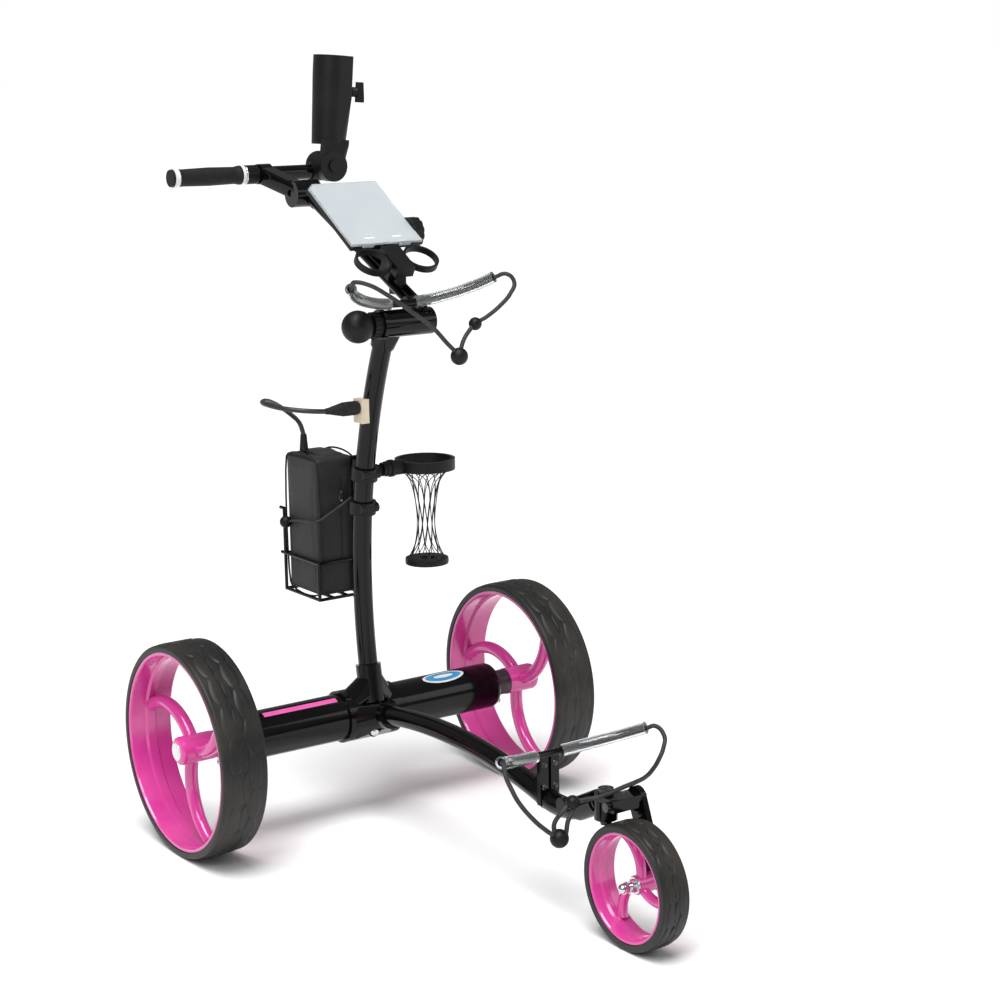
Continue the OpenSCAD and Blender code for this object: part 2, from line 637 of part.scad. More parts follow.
module upper_cradle_bar() color(black) layout() union() {
    cradle_arc(upper_cradle, upper_tilt, -cradle_half, cradle_half) circle(r = cradle_bar_r);
    difference() {
        block([-50, 98, 738], [-26, 111, 757]);
        cradle_arc(upper_cradle, upper_tilt, -cradle_half, -8.9) circle(r = sleeve_r + fit);
        bar_x(-60, -10, hinge, hinge_r + fit);
        handle_pair(handle_tube_r + fit);
        hull() {
            bar_x(handle_x - 15, handle_x + 15, hinge, 12.2);
            bar_x(handle_x - 15, handle_x + 15, handle_low + 8 * handle_dir, 9.2);
        }
    }
}
module upper_cradle_sleeves() color("lightgray", 0.4) layout() cradle_sleeves(upper_cradle, upper_tilt);
module upper_bungee() color(black) layout()
    for (p = upper_bungee_routes) cord(p, 3, 8, 1, [0.15, 0.95, 0.25]);
module upper_bungee_toggles() color(black) layout() {
    translate([-44, 200, 690]) sphere(r = 12);
    translate([-80, 187, 730]) sphere(r = 9);
}

module tilted() translate(console) rotate([console_tilt, 0, 0]) children();
stem = [[-50, 43, 763], [-34, 63, 795]];
module accessory_console() color("#1b1b1d") layout() union() {
    difference() {
        union() {
            block(stem[0], stem[1]);
            tilted() block([-10, -62, -22], [10, 40, -12.3]);
            tilted() block([-9, 7, -42], [5, 33, -14]);
        }
        handle_pair(handle_tube_r + fit);
    }
    tilted() difference() {
        union() {
            for (s = [-1, 1]) translate([s * ring_off, 32, -12]) cylinder(h = 9, r = ring_out_r);
            block([-14.5, 6, -16], [14.5, 58, 0]);
        }
        for (s = [-1, 1]) translate([s * ring_off, 32, -20]) cylinder(h = 30, r = ring_in_r);
    }
}
module scorecard_tray() color("#151517") layout() tilted() union() {
    difference() {
        block([-tray_w / 2 + 2, -140, -12], [tray_w / 2 - 2, -2, -3.4]);
        block([-tray_w / 2 + 6, -136, -9], [tray_w / 2 - 6, -6, 0]);
    }
    for (s = [-1, 1]) block([s * 48 - 2, -145, -7], [s * 48 + 2, -139, -3.4]);
    bar_x(-48, 48, [-143, -5.2], 1.2);
}
module scorecard_lid() color("white", 0.5) layout() tilted() difference() {
    union() {
        translate([0, 0, -3]) linear_extrude(3) polygon([
            [-tray_w / 2, 0], [tray_w / 2, 0], [tray_w / 2, 10 - tray_l], [tray_w / 2 - 10, -tray_l],
            [-tray_w / 2, -tray_l]]);
        bar_x(-45, 45, [-143, -5.2], 2.6);
        for (s = [-1, 1]) block([s * 30 - 9, -1, -6], [s * 30 + 9, 1, -2]);
    }
    bar_x(-50, 50, [-143, -5.2], 1.2 + fit);
    for (s = [-1, 1]) block([s * 48 - 2.6, -144, -3.1], [s * 48 + 2.6, -139.3, -1.4]);
}
module hinge_knob() color("#161616") layout() union() {
    translate([knob_x, hinge[0], hinge[1]]) sphere(r = knob_r);
    bar_x(hinge_right + 6.5, 36, hinge, 17);
    bar_x(-48, 40, hinge, hinge_bolt_r);
    for (a = [0 : 20 : 340]) translate([0, hinge[0], hinge[1]]) rotate([a, 0, 0]) bar_x(26, 36, [17, 0], 1.4);
}

// ---- battery and drinks holder -------------------------------------------

module battery_bag() color("#0f0f10") layout() difference() {
    union() {
        block(bag_low, bag_low + bag_size);
        block(bag_low + [8, 10, bag_size[2]], bag_low + [54, 78, bag_size[2] + 8]);
    }
    block(bag_low + [4, 4, 4], bag_low + bag_size - [4, 4, 4]);
    translate([gland[0], gland[1], 500]) cylinder(h = 60, r = 4);
}
module battery_pack() color("darkblue") layout() block(bag_low + [8, 8, 6], bag_low + bag_size - [8, 8, 20]);
module cable_gland() color(black) layout() translate([gland[0], gland[1], bag_low[2] + bag_size[2]]) union() {
    translate([0, 0, -3.8]) cylinder(h = 13, r = 3.9);
    translate([0, 0, 8]) cylinder(h = 24, r1 = 6.5, r2 = 4.6);
}
module power_cable() color(black) layout() cord(cable_route, 3.5, 10, 2, [0.1, 0.2, 0.97]);
module power_plug() color("#1a1a1b") layout() turned_x(plug, [
    [0, 24 + gap], [9, 24 + gap], [10, 28], [10, 44], [8, 56], [5, 70], [4.2, 76], [0, 76]]);

module drinks_ring() color("#1b1c1d") layout() difference() {
    union() {
        translate([drinks[0], drinks[1], drinks[2] - 8]) cylinder(h = 16, r = drinks_r);
        bar_x(drinks[0] + drinks_bore_r + 1, drinks_knuckle_x - gap, [drinks[1], drinks[2]], 11);
        bar_x(-49, -43, [drinks[1], drinks[2]], 12.5);
    }
    translate([drinks[0], drinks[1], drinks[2] - 30]) cylinder(h = 60, r = drinks_bore_r);
}
net_profile = [[40.7, 500.7], [33, 497], [25, 489], [20, 478], [15, 450], [13, 425], [15, 400], [20, 382], [28, 369]];
module drinks_net() color("#1b1c1d") layout() translate([drinks[0], drinks[1], 0])
    rotate_extrude() polygon(concat(net_profile,
        [for (k = [len(net_profile) - 1 : -1 : 0]) net_profile[k] - [2, 0]]));
module net_base() color("#1b1c1d") layout() translate([drinks[0], drinks[1], 361]) difference() {
    cylinder(h = 8, r = 32);
    translate([0, 0, -10]) cylinder(h = 30, r = 11);
}

axle_tube();
tube_end_caps();
axle_bearings();
geared_motors();
controller();
frame_clamp();
clamp_bolts();
mast();
front_arm();
lower_bracket_posts();
lower_cradle_bar();
lower_cradle_sleeves();
lower_bungee();
lower_bungee_toggles();
mast_hinge_half();
power_socket();
battery_cradle();
cradle_clamps();
battery_bungee();
drinks_arm();
tyre_right();
rim_right();
drive_shaft_right();
release_pin_right();
tyre_left();
rim_left();
drive_shaft_left();
release_pin_left();
front_fork();
fork_pivot_bolt();
front_axle();
front_tyre();
front_rim();
front_bearings();
handle_hinge_half();
handle_tubes();
upper_cradle_bar();
upper_cradle_sleeves();
upper_bungee();
upper_bungee_toggles();
accessory_console();
scorecard_tray();
scorecard_lid();
hinge_knob();
grip_arm();
grip_bar();
grip();
grip_rings();
speed_dial();
power_button();
umbrella_knuckle();
umbrella_tube();
wing_screw();
battery_bag();
battery_pack();
cable_gland();
power_cable();
power_plug();
drinks_ring();
drinks_net();
net_base();
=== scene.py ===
import math

import bmesh
import bpy
from mathutils import Matrix, Vector


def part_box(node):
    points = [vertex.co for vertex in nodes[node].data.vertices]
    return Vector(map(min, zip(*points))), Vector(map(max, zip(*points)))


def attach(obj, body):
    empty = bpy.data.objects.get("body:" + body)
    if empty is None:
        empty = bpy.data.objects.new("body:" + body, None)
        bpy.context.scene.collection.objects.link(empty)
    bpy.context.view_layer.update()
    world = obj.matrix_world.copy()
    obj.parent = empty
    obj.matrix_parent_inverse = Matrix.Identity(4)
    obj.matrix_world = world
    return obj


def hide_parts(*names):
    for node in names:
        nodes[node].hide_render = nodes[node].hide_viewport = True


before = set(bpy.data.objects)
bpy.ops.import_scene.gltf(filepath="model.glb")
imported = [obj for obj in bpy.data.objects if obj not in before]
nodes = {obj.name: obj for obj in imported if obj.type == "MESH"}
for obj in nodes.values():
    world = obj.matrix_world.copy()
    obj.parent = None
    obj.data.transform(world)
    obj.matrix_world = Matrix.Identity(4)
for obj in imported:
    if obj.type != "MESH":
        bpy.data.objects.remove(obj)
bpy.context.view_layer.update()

# ---- viewpoint ----------------------------------------------------------------
# A long lens from the front right, a little above the handle, looking slightly down.
heading, tilt, lean = math.radians(-35.209), math.radians(11.620), math.radians(-0.869)
forward = Vector((math.sin(heading) * math.cos(tilt), -math.cos(heading) * math.cos(tilt), -math.sin(tilt)))
level_right = forward.cross(Vector((0, 0, 1))).normalized()
level_up = level_right.cross(forward)
right = math.cos(lean) * level_right + math.sin(lean) * level_up
up = -math.sin(lean) * level_right + math.cos(lean) * level_up
camera_data = bpy.data.cameras.new("camera")
camera_data.lens, camera_data.sensor_width = 77.70, 36.0
camera_data.clip_end = 100
camera = bpy.data.objects.new("camera", camera_data)
bpy.context.scene.collection.objects.link(camera)
turn = Matrix((right, up, -forward)).transposed().to_4x4()
camera.matrix_world = Matrix.Translation((1.5822, 2.3777, 1.0862)) @ turn
bpy.context.scene.camera = camera

# ---- cords --------------------------------------------------------------------
# Elastic bungees with a knitted sleeve, held in the ends of the bag brackets and in their ball
# toggles, and the rubber lead from the battery to the mast socket. Each is one smooth curve.
BUNGEE, BATTERY_BUNGEE, LEAD = 0.006, 0.0036, 0.007
AXLE_TO_MIDDLE = 217


def place(x, y, z):
    """Millimetres from the ground point under the rear axle, to metres in the frame."""
    return Vector((x, y - AXLE_TO_MIDDLE, z)) / 1000


def breakup_group():
    """Mottled colour, uneven polish and a fine grain for any moulded, painted or rubber face."""
    group = bpy.data.node_groups.new("surface_breakup", "ShaderNodeTree")
    for name, kind in (("Vector", "NodeSocketVector"), ("Base", "NodeSocketColor"),
                       ("Second", "NodeSocketColor"), ("Patch Scale", "NodeSocketFloat"),
                       ("Grain Scale", "NodeSocketFloat"), ("Rough Low", "NodeSocketFloat"),
                       ("Rough High", "NodeSocketFloat")):
        group.interface.new_socket(name, in_out="INPUT", socket_type=kind)
    for name, kind in (("Colour", "NodeSocketColor"), ("Roughness", "NodeSocketFloat"),
                       ("Height", "NodeSocketFloat")):
        group.interface.new_socket(name, in_out="OUTPUT", socket_type=kind)
    new, link = group.nodes.new, group.links.new
    inside, outside = new("NodeGroupInput"), new("NodeGroupOutput")
    patches, grain = new("ShaderNodeTexNoise"), new("ShaderNodeTexNoise")
    patches.inputs["Detail"].default_value = 5
    grain.inputs["Detail"].default_value = 2
    mix, rough = new("ShaderNodeMix"), new("ShaderNodeMapRange")
    mix.data_type = "RGBA"
    spread = new("ShaderNodeMapRange")
    spread.inputs["From Min"].default_value = 0.42
    spread.inputs["From Max"].default_value = 0.68
    link(inside.outputs["Vector"], patches.inputs["Vector"])
    link(inside.outputs["Vector"], grain.inputs["Vector"])
    link(inside.outputs["Patch Scale"], patches.inputs["Scale"])
    link(inside.outputs["Grain Scale"], grain.inputs["Scale"])
    link(patches.outputs["Fac"], spread.inputs["Value"])
    link(spread.outputs["Result"], mix.inputs["Factor"])
    link(inside.outputs["Base"], mix.inputs[6])
    link(inside.outputs["Second"], mix.inputs[7])
    link(mix.outputs[2], outside.inputs["Colour"])
    link(patches.outputs["Fac"], rough.inputs["Value"])
    link(inside.outputs["Rough Low"], rough.inputs["To Min"])
    link(inside.outputs["Rough High"], rough.inputs["To Max"])
    link(rough.outputs["Result"], outside.inputs["Roughness"])
    link(grain.outputs["Fac"], outside.inputs["Height"])
    return group


surface_breakup = breakup_group()


def finish(name, base, second, rough, patch=25, grain=900, depth=0.1, **plain):
    """A material on the breakup group; plain holds values set straight on the shader."""
    material = bpy.data.materials.new(name)
    material.use_nodes = True
    tree = material.node_tree
    shader = tree.nodes["Principled BSDF"]
    where = tree.nodes.new("ShaderNodeTexCoord")
    group = tree.nodes.new("ShaderNodeGroup")
    group.node_tree = surface_breakup
    bump = tree.nodes.new("ShaderNodeBump")
    bump.inputs["Strength"].default_value = depth
    bump.inputs["Distance"].default_value = 0.0005
    for socket, value in (("Base", (*base, 1)), ("Second", (*second, 1)), ("Patch Scale", patch),
                          ("Grain Scale", grain), ("Rough Low", rough[0]), ("Rough High", rough[1])):
        group.inputs[socket].default_value = value
    tree.links.new(where.outputs["Object"], group.inputs["Vector"])
    tree.links.new(group.outputs["Colour"], shader.inputs["Base Color"])
    tree.links.new(group.outputs["Roughness"], shader.inputs["Roughness"])
    tree.links.new(group.outputs["Height"], bump.inputs["Height"])
    tree.links.new(bump.outputs["Normal"], shader.inputs["Normal"])
    for socket, value in plain.items():
        shader.inputs[socket.replace("_", " ")].default_value = value
    return material


def curve_piece(name, points, radius, material, closed=False):
    """One smooth round cord through points that are already in the frame."""
    data = bpy.data.curves.new(name, "CURVE")
    data.dimensions, data.bevel_depth, data.bevel_resolution = "3D", radius, 3
    data.resolution_u, data.use_fill_caps = 6, not closed
    spline = data.splines.new("BEZIER")
    spline.bezier_points.add(len(points) - 1)
    spline.use_cyclic_u = closed
    for knot, point in zip(spline.bezier_points, points):
        knot.co = point
        knot.handle_left_type = knot.handle_right_type = "AUTO"
    piece = bpy.data.objects.new(name, data)
    bpy.context.scene.collection.objects.link(piece)
    data.materials.append(material)
    return piece


sheath = finish("bungee_sheath", (0.012, 0.012, 0.012), (0.03, 0.03, 0.03), (0.45, 0.7), 80, 2600, 0.5)
lead_rubber = finish("lead_rubber", (0.014, 0.014, 0.014), (0.024, 0.024, 0.024), (0.35, 0.5), 40, 1500, 0.15)
lower_routes = [
    [(115, 511, 230), (120, 521, 234), (126, 534, 222), (124, 544, 206), (120, 552, 192),
     (107, 565, 170), (93, 572, 155), (82, 576, 146)],
    [(82, 574, 150), (82, 574, 162), (74, 577, 174), (58, 580, 186), (44, 586, 188),
     (28, 591, 189), (8, 592, 191), (-12, 592, 194), (-34, 589, 195), (-58, 579, 194),
     (-82, 565, 196), (-102, 552, 201), (-117, 543, 211), (-126, 534, 223), (-122, 521, 234),
     (-115, 511, 230)],
    [(70, 581, 146), (70, 583, 154), (68, 583, 164), (62, 583, 174), (56, 582, 182)]]
upper_routes = [
    [(102, 166, 788), (108, 177, 796), (110, 188, 800), (98, 200, 797), (72, 206, 782),
     (34, 207, 756), (0, 205, 732), (-24, 202, 709), (-40, 200, 695)],
    [(-48, 198, 699), (-56, 194, 711), (-68, 190, 722), (-80, 187, 730), (-98, 188, 738),
     (-120, 190, 752), (-138, 190, 768), (-147, 186, 782), (-140, 178, 793), (-127, 166, 788)]]
battery_route = [(-21, -54, 458), (-8, -54, 451), (8, -54, 443), (22, -54, 436), (32, -56, 431),
                 (38, -64, 428), (39, -80, 426), (39, -100, 424), (39, -120, 421), (40, -136, 417)]
lead_route = [(76, 45, 608), (96, 42, 610), (114, 30, 612), (128, 10, 614), (134, -12, 616),
              (130, -36, 616), (112, -60, 614), (88, -82, 606), (66, -98, 595), (44, -108, 581),
              (28, -112, 566), (22, -112, 549)]


def free_cord(name, route, thick, body, replaced, material):
    points = [place(*p) for p in route]
    piece = curve_piece(name, points, thick / 2, material)
    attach(piece, body)
    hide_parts(replaced)
    return piece


def bungee_set(name, routes, lengths, body, replaced):
    for index, (route, length) in enumerate(zip(routes, lengths)):
        free_cord(f"{name}_{index + 1}", route, BUNGEE, body, replaced,
                  sheath)


bungee_set("lower_bungee_strand", lower_routes, (0.133, 0.292, 0.040), "chassis",
           "lower_bungee")
bungee_set("upper_bungee_strand", upper_routes, (0.223, 0.172), "handle",
           "upper_bungee")
lead = free_cord("power_lead", lead_route, LEAD, "battery", "power_cable",
                 lead_rubber)
battery_strap = free_cord("battery_strap", battery_route, BATTERY_BUNGEE, "chassis",
                          "battery_bungee", sheath)

# The battery strap's ball is turned plastic with a flat where the cord is knotted.
bpy.ops.object.select_all(action="DESELECT")
bpy.ops.mesh.primitive_uv_sphere_add(segments=32, ring_count=16, radius=0.009, location=place(41, -140, 416))
strap_ball = bpy.context.object
strap_ball.name = "battery_strap_ball"
bpy.ops.object.transform_apply(location=True, rotation=True, scale=True)
bpy.ops.object.mode_set(mode="EDIT")
bpy.ops.mesh.select_all(action="SELECT")
bpy.ops.mesh.bisect(plane_co=place(41, -147, 416), plane_no=(0, -1, 0), use_fill=True, clear_outer=True)
bpy.ops.object.mode_set(mode="OBJECT")
bpy.ops.object.shade_smooth_by_angle(angle=math.radians(40))

# ---- painted frame, bright steel and mouldings ----------------------------------
# Powder-coated steel tube under a clear gloss, plated screws, and satin black injection
# mouldings. These finishes cover the CAD's own tubes, clamps and housings.
frame_black = finish("frame_black", (0.0015, 0.0015, 0.0018), (0.0026, 0.0026, 0.003), (0.08, 0.15), 18,
                     700, 0.05,
                     Specular_IOR_Level=0.2, Coat_Weight=0.1, Coat_Roughness=0.03)
wheel_pink = finish("wheel_pink", (0.62, 0.045, 0.30), (0.70, 0.062, 0.34), (0.14, 0.26), 14, 600, 0.06,
                    Coat_Weight=0.7, Coat_Roughness=0.08)
plated = finish("plated_steel", (0.72, 0.72, 0.73), (0.58, 0.58, 0.60), (0.08, 0.24), 60, 1200, 0.05,
                Metallic=1.0)
dark_steel = finish("blackened_steel", (0.10, 0.10, 0.11), (0.06, 0.06, 0.065), (0.25, 0.45), 60, 1200,
                    0.1, Metallic=1.0)
moulded_black = finish("moulded_black", (0.003, 0.003, 0.0033), (0.006, 0.006, 0.0063), (0.36, 0.54), 30,
                       2200, 0.25,
                       Specular_IOR_Level=0.25)
soft_black = finish("soft_rubber", (0.004, 0.004, 0.004), (0.009, 0.0088, 0.0085), (0.55, 0.75), 40, 1800,
                    0.4,
                    Specular_IOR_Level=0.35)
tyre_black = finish("tyre_rubber", (0.007, 0.007, 0.007), (0.024, 0.020, 0.016), (0.38, 0.60), 16, 1100, 0.35,
                    Specular_IOR_Level=0.4)
white_trim = finish("white_trim", (0.82, 0.82, 0.80), (0.74, 0.74, 0.72), (0.25, 0.4), 30, 900, 0.05)
cream = finish("cream_housing", (0.70, 0.61, 0.47), (0.60, 0.48, 0.34), (0.4, 0.55), 45, 1500, 0.15)
button_red = finish("button_red", (0.60, 0.03, 0.03), (0.50, 0.02, 0.02), (0.25, 0.4), 60, 900, 0.05)
cell_wrap = finish("cell_wrap", (0.03, 0.05, 0.30), (0.02, 0.03, 0.22), (0.2, 0.35), 20, 600, 0.1)
board_green = finish("board_green", (0.02, 0.18, 0.06), (0.015, 0.13, 0.05), (0.4, 0.55), 60, 900, 0.05)
clear_sleeve = finish("clear_vinyl", (0.93, 0.95, 0.96), (0.88, 0.91, 0.93), (0.04, 0.14), 20, 500, 0.05,
                      Transmission_Weight=0.95, IOR=1.45)
frosted = finish("frosted_lid", (0.90, 0.95, 0.98), (0.84, 0.90, 0.94), (0.22, 0.38), 10, 800, 0.08,
                 Transmission_Weight=0.55, IOR=1.42)
by_finish = {
    frame_black: ["axle_tube", "tube_end_caps", "frame_clamp", "mast", "front_arm", "lower_bracket_posts",
                  "lower_cradle_bar", "mast_hinge_half", "battery_cradle", "front_fork",
                  "handle_hinge_half", "handle_tubes", "upper_cradle_bar", "grip_arm", "grip_bar"],
    wheel_pink: ["rim_right", "rim_left", "front_rim"],
    plated: ["axle_bearings", "clamp_bolts", "release_pin_right", "release_pin_left", "front_axle",
             "front_bearings"],
    dark_steel: ["geared_motors", "drive_shaft_right", "drive_shaft_left", "fork_pivot_bolt"],
    moulded_black: ["lower_bungee_toggles", "upper_bungee_toggles", "cradle_clamps", "drinks_arm",
                    "accessory_console", "scorecard_tray", "hinge_knob", "speed_dial",
                    "umbrella_knuckle", "umbrella_tube", "wing_screw", "drinks_ring"],
    soft_black: ["grip", "cable_gland", "power_plug"],
    tyre_black: ["tyre_right", "tyre_left", "front_tyre"],
    white_trim: ["grip_rings"], cream: ["power_socket"], button_red: ["power_button"],
    cell_wrap: ["battery_pack"], board_green: ["controller"],
    clear_sleeve: ["lower_cradle_sleeves", "upper_cradle_sleeves"], frosted: ["scorecard_lid"]}
for material, names in by_finish.items():
    for name in names:
        for material_slot in nodes[name].material_slots:
            material_slot.material = material
strap_ball.data.materials.append(moulded_black)
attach(strap_ball, "chassis")

# ---- tyre tread -------------------------------------------------------------------
# Two staggered rows of pointed leaf blocks moulded on a flat tread, with a row of narrower
# leaves down the middle. One block is shaped from a grid, copied round, and wrapped on the tyre.
LEAF_HEIGHT = 0.0012


def leaf_block(length, half_width, middle, start, one_side=0):
    bpy.ops.object.select_all(action="DESELECT")
    bpy.ops.mesh.primitive_grid_add(x_subdivisions=12, y_subdivisions=6, size=1)
    block = bpy.context.object
    for vertex in block.data.vertices:
        along, across = vertex.co.x + 0.5, vertex.co.y * 2
        swell = math.sin(math.pi * along ** 0.75) ** 0.8 if 0 < along < 1 else 0.0
        if one_side:
            across = (across + 1) / 2 * one_side
        edge = abs(vertex.co.y) > 0.45 or along < 0.02 or along > 0.98
        vertex.co = (start + along * length, middle + across * half_width * swell,
                     -0.0004 if edge else LEAF_HEIGHT)
    return block


def tread(name, centre, radius, width, count, body):
    pitch = 2 * math.pi * radius / count
    blocks = []
    for k in range(count):
        blocks.append(leaf_block(pitch * 1.25, width * 0.17, width * 0.21, k * pitch))
        blocks.append(leaf_block(pitch * 1.25, width * 0.17, -width * 0.21, (k + 0.5) * pitch))
        blocks.append(leaf_block(pitch * 0.9, width * 0.10, 0, (k + 0.25) * pitch))
    bpy.ops.object.select_all(action="DESELECT")
    for block in blocks:
        block.select_set(True)
    bpy.context.view_layer.objects.active = blocks[0]
    bpy.ops.object.join()
    piece = bpy.context.object
    piece.name = name
    for vertex in piece.data.vertices:
        along, across, high = vertex.co
        angle, reach = along / radius, radius + high
        vertex.co = centre + Vector((across, reach * math.cos(angle), reach * math.sin(angle)))
    bpy.ops.object.mode_set(mode="EDIT")
    bpy.ops.mesh.select_all(action="SELECT")
    bpy.ops.mesh.remove_doubles(threshold=0.00002)
    bpy.ops.object.mode_set(mode="OBJECT")
    mesh = bmesh.new()
    mesh.from_mesh(piece.data)
    for face in mesh.faces:
        middle = face.calc_center_median() - centre
        middle.x = 0
        if face.normal.dot(middle) < 0:
            face.normal_flip()
    mesh.to_mesh(piece.data)
    mesh.free()
    bpy.ops.object.shade_smooth_by_angle(angle=math.radians(35))
    piece.data.materials.append(tyre_black)
    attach(piece, body)


def middle_of(node):
    low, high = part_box(node)
    return (low + high) / 2, (high.z - low.z) / 2, high.x - low.x


for name, node, count, body in (("tread_right", "tyre_right", 20, "right_wheel"),
                                ("tread_left", "tyre_left", 20, "left_wheel"),
                                ("tread_front", "front_tyre", 15, "front_wheel")):
    centre, radius, width = middle_of(node)
    tread(name, centre, radius, width, count, body)

# ---- hub caps ----------------------------------------------------------------------
# A silvered snap-in disc closes the outer end of each rear hub. It is dished by an inset
# and its rim is rolled.
cap_silver = finish("cap_silver", (0.80, 0.81, 0.80), (0.66, 0.68, 0.67), (0.16, 0.34), 90, 1500, 0.1,
                    Metallic=0.6)
CAP_RADIUS, CAP_THICK = 0.0125, 0.0018
for name, node, side, body in (("hub_cap_right", "rim_right", 1, "right_wheel"),
                               ("hub_cap_left", "rim_left", -1, "left_wheel")):
    low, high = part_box(node)
    centre = (low + high) / 2
    centre.x = side * 0.3052
    bpy.ops.object.select_all(action="DESELECT")
    bpy.ops.mesh.primitive_cylinder_add(vertices=48, radius=CAP_RADIUS, depth=CAP_THICK, location=centre,
                                        rotation=(0, math.radians(90), 0))
    cap = bpy.context.object
    cap.name = name
    bpy.ops.object.transform_apply(location=True, rotation=True, scale=True)
    bpy.ops.object.mode_set(mode="EDIT")
    bpy.ops.mesh.select_all(action="DESELECT")
    bpy.ops.object.mode_set(mode="OBJECT")
    for face in cap.data.polygons:
        face.select = face.normal.x * side > 0.9
    bpy.ops.object.mode_set(mode="EDIT")
    bpy.ops.mesh.select_mode(type="FACE")
    bpy.ops.mesh.inset(thickness=0.0018)
    bpy.ops.mesh.inset(thickness=0.0012, depth=-0.0006)
    bpy.ops.object.mode_set(mode="OBJECT")
    rounded = cap.modifiers.new("rolled_edge", "BEVEL")
    rounded.width, rounded.segments = 0.0004, 2
    bpy.ops.object.modifier_apply(modifier="rolled_edge")
    bpy.ops.object.shade_smooth_by_angle(angle=math.radians(35))
    cap.data.materials.append(cap_silver)
    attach(cap, body)

# ---- plain badge and stripe -----------------------------------------------------------
# Printed film on the motor tube: an oval with a white rim, a blue field and a white core, and a
# plain pink bar.
# Each is a thin grid bent round the tube.
badge_blue = finish("badge_blue", (0.03, 0.28, 0.60), (0.04, 0.34, 0.66), (0.2, 0.3), 30, 700, 0.03,
                    Coat_Weight=0.5)
stripe_pink = finish("stripe_pink", (0.70, 0.12, 0.38), (0.64, 0.09, 0.33), (0.25, 0.35), 30, 700, 0.03)


def tube_film(name, x, angle, half_x, half_round, lift, oval, material):
    bpy.ops.object.select_all(action="DESELECT")
    bpy.ops.mesh.primitive_grid_add(x_subdivisions=40, y_subdivisions=16, size=2)
    film = bpy.context.object
    film.name = name
    low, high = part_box("axle_tube")
    middle, reach = (low + high) / 2, (high.z - low.z) / 2 + lift
    for vertex in film.data.vertices:
        u, v = vertex.co.x, vertex.co.y
        if oval:
            u, v = u * math.sqrt(1 - v * v / 2), v * math.sqrt(1 - u * u / 2)
        turn_by = math.radians(angle) + v * half_round / reach
        vertex.co = (x + u * half_x, middle.y + reach * math.cos(turn_by),
                     middle.z + reach * math.sin(turn_by))
    bpy.ops.object.mode_set(mode="EDIT")
    bpy.ops.mesh.select_all(action="SELECT")
    bpy.ops.mesh.flip_normals()
    bpy.ops.object.mode_set(mode="OBJECT")
    bpy.ops.object.shade_smooth()
    film.data.materials.append(material)
    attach(film, "chassis")


BADGE_X, BADGE_ANGLE = -0.132, 71
tube_film("badge_rim", BADGE_X, BADGE_ANGLE, 0.036, 0.0125, 0.0002, True, white_trim)
tube_film("badge_field", BADGE_X, BADGE_ANGLE, 0.031, 0.0095, 0.0004, True, badge_blue)
tube_film("badge_core", BADGE_X, BADGE_ANGLE, 0.017, 0.0038, 0.0006, True, white_trim)
tube_film("tube_stripe", 0.115, 66, 0.060, 0.0045, 0.0003, False, stripe_pink)

# ---- battery bag ------------------------------------------------------------------------
# A sewn nylon box round the battery, filled tight so that its panels crown between piped
# seams. A zip with a metal puller closes the front, and a padded flap lies on top.
bag_nylon = finish("bag_nylon", (0.004, 0.004, 0.005), (0.009, 0.009, 0.011), (0.50, 0.70), 35, 1400, 0.2,
                   Sheen_Weight=0.08, Sheen_Roughness=0.4)
weave_tree = bag_nylon.node_tree
weave_bump = next(n for n in weave_tree.nodes if n.type == "BUMP")
weave_where = next(n for n in weave_tree.nodes if n.type == "TEX_COORD")
warp, weft = weave_tree.nodes.new("ShaderNodeTexWave"), weave_tree.nodes.new("ShaderNodeTexWave")
warp.bands_direction, weft.bands_direction = "DIAGONAL", "Z"
crossing = weave_tree.nodes.new("ShaderNodeMath")
crossing.operation = "MULTIPLY"
for thread in (warp, weft):
    thread.inputs["Scale"].default_value = 210
    thread.inputs["Distortion"].default_value = 0.6
    weave_tree.links.new(weave_where.outputs["Object"], thread.inputs["Vector"])
weave_tree.links.new(warp.outputs["Fac"], crossing.inputs[0])
weave_tree.links.new(weft.outputs["Fac"], crossing.inputs[1])
weave_tree.links.new(crossing.outputs[0], weave_bump.inputs["Height"])
weave_bump.inputs["Strength"].default_value = 0.5
bag_low, bag_high = place(-32.4, -149, 315.6), place(32.4, -60, 519.5)
bpy.ops.object.select_all(action="DESELECT")
bpy.ops.mesh.primitive_cube_add(size=1, location=(bag_low + bag_high) / 2)
bag = bpy.context.object
bag.name = "sewn_battery_bag"
bag.scale = bag_high - bag_low
bpy.ops.object.transform_apply(location=True, rotation=True, scale=True)
edge_round = bag.modifiers.new("edge_round", "BEVEL")
edge_round.width, edge_round.segments = 0.0045, 3
bpy.ops.object.modifier_apply(modifier="edge_round")
remesh = bag.modifiers.new("remesh", "REMESH")
remesh.mode, remesh.voxel_size = "VOXEL", 0.004
bpy.ops.object.modifier_apply(modifier="remesh")
start = [v.co.copy() for v in bag.data.vertices]
cloth = bag.modifiers.new("fill", "CLOTH")
cloth.settings.use_pressure = True
cloth.settings.uniform_pressure_force = 4
cloth.settings.effector_weights.gravity = 0
for step in range(1, 21):
    bpy.context.scene.frame_set(step)
shape = bag.evaluated_get(bpy.context.evaluated_depsgraph_get())
moved = [v.co.copy() for v in shape.data.vertices]
bag.modifiers.remove(cloth)
bpy.context.scene.frame_set(1)
for vertex, old, new_place in zip(bag.data.vertices, start, moved):
    shift = new_place - old
    outward = 1.0 if shift.dot(old - (bag_low + bag_high) / 2) > 0 else 0.3
    vertex.co = old + shift * outward * min(1.0, 0.0010 / max(shift.length, 1e-9))
smooth = bag.modifiers.new("smooth", "SUBSURF")
smooth.levels = smooth.render_levels = 1
bpy.ops.object.modifier_apply(modifier="smooth")
bpy.ops.object.shade_smooth()
